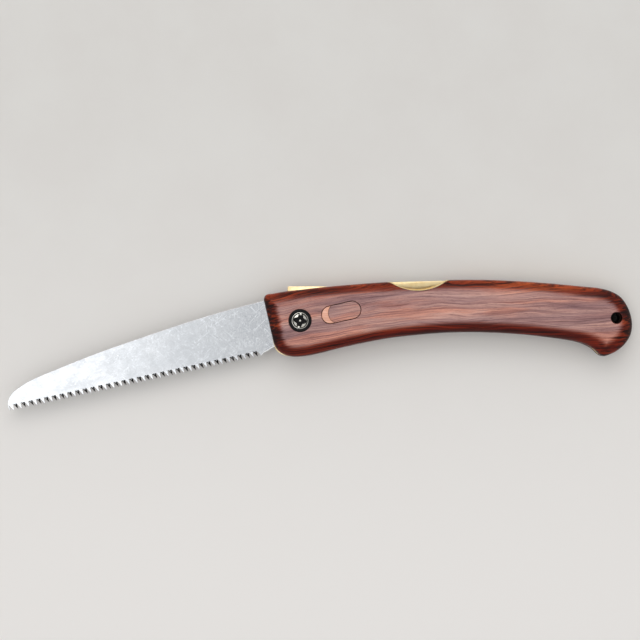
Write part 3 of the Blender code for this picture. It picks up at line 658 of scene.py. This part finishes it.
    def wall(ring, loop_xy, steps):
        """A wall from ring down through steps of (inset along the loop's normals, z). Returns the last ring."""
        nrm = loop_normals(loop_xy)
        last = ring
        for inset, zz in steps:
            base = len(verts)
            pts = loop_xy + nrm * inset
            verts.extend((p[0], p[1], zz) for p in pts)
            g_list.extend(grain_coords(pts[:, 0], pts[:, 1], np.full(len(pts), zz)))
            e_list.extend(e_list[i] for i in ring)
            endgrain_shade_list.extend(endgrain_shade_list[i] for i in ring)
            belly_shade_list.extend(belly_shade_list[i] for i in ring)
            now = list(range(base, base + len(pts)))
            n = len(now)
            for i in range(n):
                j = (i + 1) % n
                faces.append((last[i], last[j], now[j], now[i]))
            last = now
        return last

    def cap(loops, rings, loose_pts=()):
        """A flat face between rings that already exist."""
        _, t, mk = triangulate(loops, list(loose_pts))
        back = {}
        for ring, m in zip(rings, mk):
            for a, b in zip(ring, m):
                back[b] = a
        for tri in t:
            if all(int(v) in back for v in tri):
                faces.append(tuple(back[int(v)] for v in tri))

    low = wall(marks[0], outline, [(0.0, z_in + up * 0.14), (0.10, z_in)])
    start = len(verts)
    lan = wall(marks[1], lanyard, [(0.0, z_out - up * 1.2), (0.0, z_in)])
    # painted shade: the lanyard hole's walls are coloured nearly black
    endgrain_shade_list[start:] = [1.4] * (len(verts) - start)
    shank = circle((0, 0), 2.5, 84)
    z_seat = Z_RING[0] - 0.05 if front else Z_BRING[1] + 0.05
    floor_ring = wall(marks[2], seat, [(0.0, z_seat)])
    base = len(verts)
    verts.extend((p[0], p[1], z_seat) for p in shank)
    g_list.extend(grain_coords(shank[:, 0], shank[:, 1], np.full(84, z_seat)))
    e_list.extend([0.5] * 84)
    endgrain_shade_list.extend([0.3] * 84)
    belly_shade_list.extend([0.0] * 84)
    inner = list(range(base, base + 84))
    for i in range(84):
        j = (i + 1) % 84
        faces.append((floor_ring[i], floor_ring[j], inner[j], inner[i]))
    bore = wall(inner, shank, [(0.0, z_in)])
    if front:
        oval_floor = wall(marks[3], holes[2], [(0.0, z_out - OVAL_DEPTH)])
        faces.append(tuple(oval_floor))
    inset_loop = outline + loop_normals(outline) * 0.10
    cap([inset_loop, lanyard, shank], [low, lan, bore])
    return to_object(name, verts, faces, 42.0, {
        "grain": ("FLOAT_VECTOR", np.array(g_list)), "edge": ("FLOAT", e_list), "end": ("FLOAT", endgrain_shade_list), "belly_shade": ("FLOAT", belly_shade_list)})


front_wood = scale_piece("front_scale_wood", Z_FS[0], Z_FS[1], True)
finish_piece(front_wood, ROSEWOOD, "handle", ["front_scale"])
back_wood = scale_piece("back_scale_wood", Z_BS[1], Z_BS[0], False)
finish_piece(back_wood, ROSEWOOD, "handle", ["back_scale"])


# ------------------------------------------------------------------ pieces refined from their CAD solids
def refine(node, name, bevel, segments=2, sharp=28.0, grain=False):
    """A copy of a CAD solid with its edges rounded."""
    bm = bmesh.new()
    bm.from_mesh(frame["nodes"][node].data)
    for v in bm.verts:
        v.co = v.co * 1000.0
    bmesh.ops.remove_doubles(bm, verts=bm.verts, dist=0.004)
    bmesh.ops.dissolve_limit(bm, angle_limit=math.radians(0.6), verts=bm.verts, edges=bm.edges)
    bm.normal_update()
    hard = [e for e in bm.edges if len(e.link_faces) == 2 and e.calc_face_angle(0) > math.radians(sharp)]
    bmesh.ops.bevel(bm, geom=hard, offset=bevel, offset_type="OFFSET", segments=segments, profile=0.5,
                    affect="EDGES", clamp_overlap=True)
    for v in bm.verts:
        v.co = v.co * 0.001
    mesh = bpy.data.meshes.new(name)
    bm.to_mesh(mesh)
    bm.free()
    if grain:
        co = np.array([v.co for v in mesh.vertices]) * 1000 - np.array([PX, PY, 0])
        att = mesh.attributes.new("grain", "FLOAT_VECTOR", "POINT")
        att.data.foreach_set("vector", (grain_coords(co[:, 0], co[:, 1], co[:, 2]) + np.array([3.0, -7.0, 0])).astype(np.float32).ravel())
    mesh.shade_smooth()
    mesh.set_sharp_from_angle(angle=math.radians(40))
    item = bpy.data.objects.new(name, mesh)
    bpy.context.scene.collection.objects.link(item)
    return item


finish_piece(refine("oval_inlay", "oval_inlay_wood", 0.12, grain=True), ROSEWOOD, "handle", ["oval_inlay"])
finish_piece(refine("oval_inlay_end", "oval_inlay_end_wood", 0.14), PALE, "handle", ["oval_inlay_end"])
for node, mat, body, slot, bev in (
        ("back_spacer", BRASS, "handle", "brass", 0.15), ("lock_bar", BRASS, "lock_bar", "brass", 0.22),
        ("spacer_pin_1", BRASS, "handle", "brass", 0.12), ("spacer_pin_2", BRASS, "handle", "brass", 0.12),
        ("spacer_pin_3", BRASS, "handle", "brass", 0.12),
        ("lock_bar_pin", DARK_STEEL, "handle", "dark_steel", 0.12), ("stop_pin", DARK_STEEL, "handle", "dark_steel", 0.12),
        ("front_scale_screw_1", DARK_STEEL, "handle", "dark_steel", 0.06), ("front_scale_screw_2", DARK_STEEL, "handle", "dark_steel", 0.06),
        ("front_scale_screw_3", DARK_STEEL, "handle", "dark_steel", 0.06), ("back_scale_screw_1", DARK_STEEL, "handle", "dark_steel", 0.06),
        ("back_scale_screw_2", DARK_STEEL, "handle", "dark_steel", 0.06), ("back_scale_screw_3", DARK_STEEL, "handle", "dark_steel", 0.06),
        ("pivot_nut", NICKEL, "handle", "bright_nickel", 0.15), ("pivot_bushing", NICKEL, "handle", "bright_nickel", 0.06),
        ("front_pivot_washer", BRONZE, "handle", "bronze", 0.06), ("back_pivot_washer", BRONZE, "handle", "bronze", 0.06)):
    finish_piece(refine(node, node + "_piece", bev), mat, body, [node])


# ------------------------------------------------------------------ brass liners
def liner_piece(name, node, z0, z1):
    """A flat brass plate to the handle's outline, with a lip left standing in the thumb notch."""
    corner = [(-3.0, -18.2), (-7.9, -17.5), (-11.25, -15.65), (-13.0, -12.9)]
    loop = resample(spline(TOP_LINE + TAIL + HOOK + BELLY + corner + FRONT_EDGE + UPPER_CORNER), 0.45)
    c = np.array([NOTCH_X, NOTCH_Y + NOTCH_R])
    radius = NOTCH_R - 0.5
    out = np.linalg.norm(loop - c, axis=1) > radius
    loop = np.roll(loop, -int(np.argmax(~out & np.roll(out, 1))), 0)
    rest = loop[np.linalg.norm(loop - c, axis=1) > radius]
    a0, a1 = (math.degrees(math.atan2(q[1] - c[1], q[0] - c[0])) for q in (rest[-1], rest[0]))
    loop = np.vstack([rest, arc(c, radius, a0, a1, int(math.radians(a1 - a0) * radius / 0.45) + 2)[1:-1]])
    holes = [circle(LANYARD, LANYARD_R + 0.25, 48), circle((0, 0), 2.5, 40)]
    ease = 0.12
    back_off = (0.02 + 0.20 * np.clip((loop[:, 0] + 4.0) / 8.0, 0, 1) * (loop[:, 1] < 4.0))[:, None]
    small = loop + loop_normals(loop) * (back_off + ease)
    loop = loop + loop_normals(loop) * back_off
    xy, tris, mk = triangulate([small] + holes, [])
    verts, faces, rings = [], [], {}
    for z in (z0, z1):
        base = len(verts)
        verts += [(q[0], q[1], z) for q in xy]
        faces += [tuple(base + i for i in t) for t in tris]
        rings[z] = [[base + i for i in m] for m in mk]
    side = {}
    for z, zz in ((z0, z0 + ease), (z1, z1 - ease)):
        side[z] = list(range(len(verts), len(verts) + len(loop)))
        verts += [(q[0], q[1], zz) for q in loop]
    for ra, rb in ((rings[z1][0], side[z1]), (side[z1], side[z0]), (side[z0], rings[z0][0]), (rings[z1][1], rings[z0][1]), (rings[z1][2], rings[z0][2])):
        for i in range(len(ra)):
            j = (i + 1) % len(ra)
            faces.append((ra[i], ra[j], rb[j], rb[i]))
    return finish_piece(to_object(name, verts, faces, 30), BRASS, "handle", [node])


liner_piece("front_liner_piece", "front_liner", *Z_FL)
liner_piece("back_liner_piece", "back_liner", *Z_BL)


# ------------------------------------------------------------------ turned pieces
def lathe(profile, segments):
    verts, faces, loops = [], [], []
    for r, z in profile:
        if r < 1e-6:
            loops.append([len(verts)])
            verts.append((0, 0, z))
        else:
            loops.append(list(range(len(verts), len(verts) + segments)))
            verts += [(r * math.cos(2 * math.pi * k / segments), r * math.sin(2 * math.pi * k / segments), z) for k in range(segments)]
    pairs = list(zip(loops, loops[1:]))
    if len(loops[0]) > 1 and len(loops[-1]) > 1:
        pairs.append((loops[-1], loops[0]))
    for a, b in pairs:
        for k in range(segments):
            j = (k + 1) % segments
            if len(a) == 1:
                faces.append((a[0], b[j], b[k]))
            elif len(b) == 1:
                faces.append((a[k], a[j], b[0]))
            else:
                faces.append((a[k], a[j], b[j], b[k]))
    return verts, faces


def rounded(corner, r, a0, a1, n=5):
    return [(corner[0] + r * math.cos(math.radians(a)), corner[1] + r * math.sin(math.radians(a))) for a in np.linspace(a0, a1, n)]


def ring_piece(name, node, z_seat, z_face):
    up = 1.0 if z_face > z_seat else -1.0
    h = abs(z_face - z_seat)
    prof = [(4.36, 0.0), (5.69, 0.0)] + rounded((5.69 - 0.35, h - 0.35), 0.35, 0, 90) + \
        rounded((4.36 + 0.30, h - 0.30), 0.30, 90, 180)
    v, f = lathe([(r, z_seat + up * z) for r, z in prof], 96)
    return finish_piece(to_object(name, v, f, 50), BLACK, "handle", [node])


ring_piece("front_pivot_ring_piece", "front_pivot_ring", Z_RING[0], Z_RING[1])
ring_piece("back_pivot_ring_piece", "back_pivot_ring", Z_BRING[1], Z_BRING[0])


def star_radius(t):
    """Edge of the drive recess: four lobes, the upper and lower ones running out to the rim."""
    f = t - STAR_TURN
    return 2.70 + 0.60 * np.cos(4 * f) + 0.75 * np.maximum(0, -np.cos(2 * f)) ** 6


def bolt_piece():
    """Domed head with a four-lobed drive round a centre pin, on a plain shank."""
    z_head = zs("pivot_bolt")[1]
    seg = 160
    th = np.arange(seg) * 2 * math.pi / seg
    star = star_radius(th)
    radii = np.concatenate([[0.12, 0.3, 0.42, 0.5, 0.58, 0.66, 0.76], np.linspace(0.9, 1.5, 6), np.linspace(1.6, 3.9, 40),
                            [3.96, 4.02, 4.08, 4.13, 4.18, 4.22, 4.245]])
    verts, faces = [(0, 0, z_head - 0.30)], []
    rings = []
    for r in radii:
        rim = z_head - 0.02 - 0.30 * (1 - math.sqrt(max(0.0, 1 - (max(0.0, r - 3.95) / 0.32) ** 2)))
        groove = 0.34 * math.exp(-((r - 3.62) / 0.20) ** 2)
        land = z_head + 0.02 - 0.16 * max(0.0, r - 2.2) ** 1.5
        top = rim if r > 3.85 else max(land - groove, rim - 0.45) + (rim - land) * max(0.0, (r - 3.6) / 0.25) * (r > 3.6)
        inside_star = np.clip((star - r) / 0.20 + 0.5, 0, 1)
        inside_star = inside_star ** 2 * (3 - 2 * inside_star)
        if r > 3.9:
            inside_star = inside_star * 0
        shoulder = 0.16 * np.exp(-(np.maximum(r - star, 0) / 0.45) ** 2)
        deep = 1.30 - (1.10 if r < 0.5 else 1.10 * max(0.0, 1 - (r - 0.5) / 0.22))
        z = top - inside_star * (deep + (top - z_head)) - (1 - inside_star) * (0.16 - shoulder) * (r < 3.85)
        rings.append(list(range(len(verts), len(verts) + seg)))
        verts += [(r * math.cos(t), r * math.sin(t), float(zz)) for t, zz in zip(th, z)]
    z_under, z_end = Z_RING[0], zs("pivot_bolt")[0]
    for r, z in ((4.25, z_head - 0.5), (4.25, z_under), (2.4, z_under), (2.4, z_end + 0.3), (2.1, z_end), (0.4, z_end)):
        rings.append(list(range(len(verts), len(verts) + seg)))
        verts += [(r * math.cos(t), r * math.sin(t), z) for t in th]
    for k in range(seg):
        faces.append((0, rings[0][k], rings[0][(k + 1) % seg]))
    for a, b in zip(rings, rings[1:]):
        for k in range(seg):
            j = (k + 1) % seg
            faces.append((a[k], b[k], b[j], a[j]))
    faces.append(tuple(rings[-1]))
    item = to_object("pivot_bolt_piece", verts, faces, 60)
    return finish_piece(item, [NICKEL, BLACK], "handle", ["pivot_bolt"])


bolt = bolt_piece()
for poly in bolt.data.polygons:  # the drive recess and the groove round the head take the black material: painted shade in the recess and groove
    c = poly.center
    x, y, z = 1000 * c.x - PX, 1000 * c.y - PY, 1000 * c.z
    r, t = math.hypot(x, y), math.atan2(y, x)
    if z > Z_RING[0] + 0.5 and ((0.62 < r < star_radius(t) + 0.05 and r < 3.9) or 3.50 < r < 3.80):
        poly.material_index = 1


def dome(name, center, radius, z0, height):
    prof = [(0.0, z0 - 0.6), (radius, z0 - 0.6), (radius, z0)]
    prof += [(radius * math.cos(math.radians(a)), z0 + height * math.sin(math.radians(a))) for a in range(10, 90, 10)] + [(0.0, z0 + height)]
    v, f = lathe(prof, 28)
    v = [(p[0] + center[0], p[1] + center[1], p[2]) for p in v]
    return to_object(name, v, f, 50)


for k, (deg, rr) in enumerate(((84.0, 3.35), (259.0, 3.40)), 1):
    at = (rr * math.cos(math.radians(deg)), rr * math.sin(math.radians(deg)))
    pin = dome("pivot_bolt_pin_%d" % k, at, 0.76, zs("pivot_bolt")[1] - 0.25, 0.50)
    finish_piece(pin, NICKEL, "handle", [])


# ------------------------------------------------------------------ leaf spring
def spring_piece():
    mid = spline([(111.0, 15.15), (96.0, 15.15), (86.0, 15.15), (78.0, 15.15), (70.0, 15.1)], closed=False, steps=12)
    tan = np.gradient(mid, axis=0)
    tan /= np.linalg.norm(tan, axis=1)[:, None]
    nrm = np.stack([-tan[:, 1], tan[:, 0]], 1)
    z0, z1 = zs("lock_spring")
    verts, faces = [], []
    prof = [(-0.35, z0 + 0.1), (-0.25, z0), (0.25, z0), (0.35, z0 + 0.1), (0.35, z1 - 0.1), (0.25, z1), (-0.25, z1), (-0.35, z1 - 0.1)]
    for p, n in zip(mid, nrm):
        verts += [(*(p + n * a), z) for a, z in prof]
    m = len(prof)
    for i in range(len(mid) - 1):
        for k in range(m):
            j = (k + 1) % m
            faces.append((i * m + k, i * m + j, (i + 1) * m + j, (i + 1) * m + k))
    faces.append(tuple(range(m)))
    faces.append(tuple(range((len(mid) - 1) * m, len(mid) * m)))
    item = to_object("lock_spring_piece", verts, faces, 30)
    item.data.materials.append(DARK_STEEL)
    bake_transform(item)
    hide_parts("lock_spring")
    return item


spring_piece()


# ------------------------------------------------------------------ blade
def blade_piece():
    a = math.radians(TOOTH_DEG)
    left = np.array([math.cos(a), math.sin(a)])
    right = -left
    up_dir = np.array([left[1], -left[0]])
    if up_dir[1] < 0:
        up_dir = -up_dir
    down = -up_dir
    heel = np.array(HEEL)
    p, D = TOOTH_PITCH, TOOTH_DEPTH
    rake = 0.12
    h0, h1 = Z_BLADE
    mid, half = 0.5 * (h0 + h1), 0.5 * (h1 - h0)

    def run(points, step):
        pts = resample(np.array(points, float), step, closed=False)
        return pts[:-1]

    last_tip = heel + left * p * TOOTH_COUNT
    root_a = heel + left * (p + rake - 0.22) + up_dir * D
    root_b = heel + left * (p * TOOTH_COUNT + rake) + up_dir * D
    nose = spline([tuple(last_tip), (-147.3, -44.3), (-147.75, -42.6), (-147.6, -40.6), SPINE[0]], closed=False, steps=8)
    spine = spline(SPINE, closed=False, steps=40)
    tang = [SPINE[-1], (-7.2, 12.4), (-6.75, 12.0), (-6.75, 10.3), (-5.9, 8.9), (-5.0, 8.95), (-2.6, 9.3)]
    rim = arc((0, 0), TANG_R, 88, -98, 140)
    ricasso = spline([tuple(rim[-1]), (-7.0, -10.9), (-13.0, -13.2), (-16.6, -15.3), (-18.8, -16.6), tuple(heel)], closed=False, steps=30)
    parts = [(run([heel, root_a], 0.5), 0.10), (run([root_a, root_b], 0.5), 0.0), (run([root_b, last_tip], 0.5), 0.10),
             (run(nose, 0.35), 0.20), (run(spine, 0.5), 0.05), (run(tang, 0.3), 0.10), (run([(-2.6, 9.3), tuple(rim[0])], 0.4), 0.12),
             (run(rim, 0.5), 0.15), (run(ricasso, 0.35), 0.42)]
    loop = np.vstack([q for q, _ in parts])
    ease = np.concatenate([np.full(len(q), e) for q, e in parts])
    for _ in range(4):
        smooth = 0.25 * (np.roll(ease, 1) + np.roll(ease, -1)) + 0.5 * ease
        ease = np.where(ease > 0, smooth, 0.0)
    ease = ease * np.clip(np.linalg.norm(loop - last_tip, axis=1) / 2.2, 0.0, 1.0)  # the last tooth is too sharp for an even edge
    area = 0.5 * np.sum(loop[:, 0] * np.roll(loop[:, 1], -1) - np.roll(loop[:, 0], -1) * loop[:, 1])
    if area > 0:  # clockwise, so right-hand normals point in
        loop, ease = loop[::-1], ease[::-1]
    inner = loop + loop_normals(loop) * ease[:, None]
    hole = circle((0, 0), PIVOT_HOLE_R, 64)
    grid = np.stack(np.meshgrid(np.arange(-148, 10, 3.0), np.arange(-46, 14, 3.0)), -1).reshape(-1, 2)
    grid = grid[inside(grid, inner) & (nearest(grid, inner)[0] > 1.0) & (np.linalg.norm(grid, axis=1) > PIVOT_HOLE_R + 1.5)]
    xy, tris, mk = triangulate([inner, hole], grid)
    verts, faces, mats = [], [], []
    marks = {}
    for sgn in (1, -1):
        base = len(verts)
        verts += [(q[0], q[1], mid + sgn * half) for q in xy]
        faces += [tuple(base + i for i in t) for t in tris]
        mats += [0] * len(tris)
        marks[sgn] = [[base + i for i in m] for m in mk]
    n = len(loop)
    drop = np.where(ease > 0.3, 0.05, np.minimum(ease * 0.3, 0.10)) + 0.01
    rings = {}
    for sgn in (1, -1):
        rings[sgn] = list(range(len(verts), len(verts) + n))
        verts += [(q[0], q[1], mid + sgn * (half - d)) for q, d in zip(loop, drop)]
    # the chamfer faces take the brighter edge steel as painted highlight
    for ra, rb, mt in ((marks[1][0], rings[1], 2), (rings[1], rings[-1], 0), (rings[-1], marks[-1][0], 2), (marks[1][1], marks[-1][1], 0)):
        m = len(ra)
        for i in range(m):
            j = (i + 1) % m
            faces.append((ra[i], ra[j], rb[j], rb[i]))
            mats.append(mt)
    # teeth: tips lean to the handle, set by turns to each side, and each ground to a point from its inner side
    for k in range(1, TOOTH_COUNT):
        tip = heel + left * p * k
        side = 1 if k % 2 == 0 else -1

        def at(t, v, zz):
            q = tip + up_dir * D + right * t + down * v
            return (q[0], q[1], mid + zz + side * 0.32 * (v / D) ** 1.3)

        outer, near = side * half, -side * half
        base = len(verts)
        verts += [at(-1.90, 0, outer), at(-0.12, 0, outer), at(0, D, outer * 0.85),
                  at(-1.14, 0, near), at(-0.86, 0, near), at(-0.65, 0.36 * D, near),
                  at(-1.90, 0, outer * 0.3), at(-0.12, 0, outer * 0.3), at(-0.01, D * 0.99, outer * 0.6)]
        V = [base + i for i in range(9)]
        # the inner bevel facets take the near-black material: hardened steel darkened as painted shade
        for f, mt in (((V[0], V[1], V[2]), 0), ((V[3], V[5], V[4]), 0), ((V[6], V[8], V[5], V[3]), 1), ((V[7], V[4], V[5], V[8]), 1),
                      ((V[0], V[2], V[8], V[6]), 0), ((V[1], V[7], V[8], V[2]), 0), ((V[0], V[6], V[3], V[4], V[7], V[1]), 0)):
            faces.append(f)
            mats.append(mt)
    item = to_object("blade_piece", verts, faces, 25)
    finish_piece(item, [BLADE_STEEL, TOOTH_BLACK, EDGE_STEEL], "blade", ["blade"])
    item.data.shade_flat()
    for poly, mt in zip(item.data.polygons, mats):
        poly.material_index = mt
    return item


blade_piece()

# ------------------------------------------------------------------ stage, light, camera
scene = bpy.context.scene
bpy.ops.mesh.primitive_plane_add(size=9.0, location=(0, 0, min(0.0, CAD_BOX[0][2]) - 0.0002))
floor = bpy.context.object
floor.name = "floor"
floor.data.materials.append(floor_paper())

CX = (PX + 9.98) * MM
CY = (PY + 0.3) * MM


def studio_sky():
    """A soft dome: dim at the horizon, brighter overhead, brightest over the blade's tip end."""
    world = bpy.data.worlds.new("studio")
    scene.world = world
    world.use_nodes = True
    nodes, links = world.node_tree.nodes, world.node_tree.links

    def add(kind, **props):
        item = nodes.new(kind)
        for k, v in props.items():
            setattr(item, k, v)
        return item

    coord = add("ShaderNodeTexCoord").outputs["Generated"]
    xyz = add("ShaderNodeSeparateXYZ")
    links.new(coord, xyz.inputs[0])

    def ramp(source, a, b, lo, hi):
        item = add("ShaderNodeMapRange", interpolation_type="SMOOTHSTEP")
        links.new(source, item.inputs["Value"])
        for key, v in (("From Min", a), ("From Max", b), ("To Min", lo), ("To Max", hi)):
            item.inputs[key].default_value = v
        return item.outputs["Result"]

    high = ramp(xyz.outputs["Z"], 0.20, 0.90, SKY_LOW, SKY_HIGH)
    tip = ramp(xyz.outputs["X"], -0.070, -0.145, 0.0, SKY_TIP)
    zone = ramp(xyz.outputs["Z"], 0.80, 0.95, 0.0, 1.0)
    far = ramp(xyz.outputs["X"], -0.42, -0.30, 0.0, 1.0)
    both = add("ShaderNodeMath", operation="MULTIPLY")
    links.new(far, both.inputs[0])
    links.new(zone, both.inputs[1])
    mul = add("ShaderNodeMath", operation="MULTIPLY")
    links.new(tip, mul.inputs[0])
    links.new(both.outputs[0], mul.inputs[1])
    total = add("ShaderNodeMath", operation="ADD")
    links.new(high, total.inputs[0])
    links.new(mul.outputs[0], total.inputs[1])
    back = nodes["Background"]
    back.inputs["Color"].default_value = (0.97, 0.985, 1.0, 1.0)
    links.new(total.outputs[0], back.inputs["Strength"])


SKY_LOW, SKY_HIGH, SKY_TIP = 0.64, 0.79, 1.92
studio_sky()


def area_light(name, loc, target, size, size_y, power, color):
    light = bpy.data.lights.new(name, "AREA")
    light.shape = "RECTANGLE"
    light.size, light.size_y = size, size_y
    light.energy = power
    light.color = color
    item = bpy.data.objects.new(name, light)
    item.location = loc
    item.rotation_euler = (Vector(target) - Vector(loc)).to_track_quat("-Z", "Y").to_euler()
    scene.collection.objects.link(item)
    return item


area_light("key_above", (-0.25, 1.05, 1.15), (-0.08, 0, 0), 1.5, 0.8, 5.5, (1.0, 0.98, 0.95))

cam_data = bpy.data.cameras.new("camera")
cam_data.lens = 100.0
cam_data.sensor_width = 36.0
cam = bpy.data.objects.new("camera", cam_data)
dist = 0.3226 * 100.0 / 36.0
cam.location = (CX, CY, 0.0112 + dist)
cam.rotation_euler = (0.0, 0.0, 0.0)
scene.collection.objects.link(cam)
scene.camera = cam
cam_data.clip_start = 0.01
cam_data.clip_end = 50.0

scene.view_settings.view_transform = "Standard"
scene.view_settings.look = "None"
scene.view_settings.exposure = 0.0
scene.view_settings.gamma = 1.0
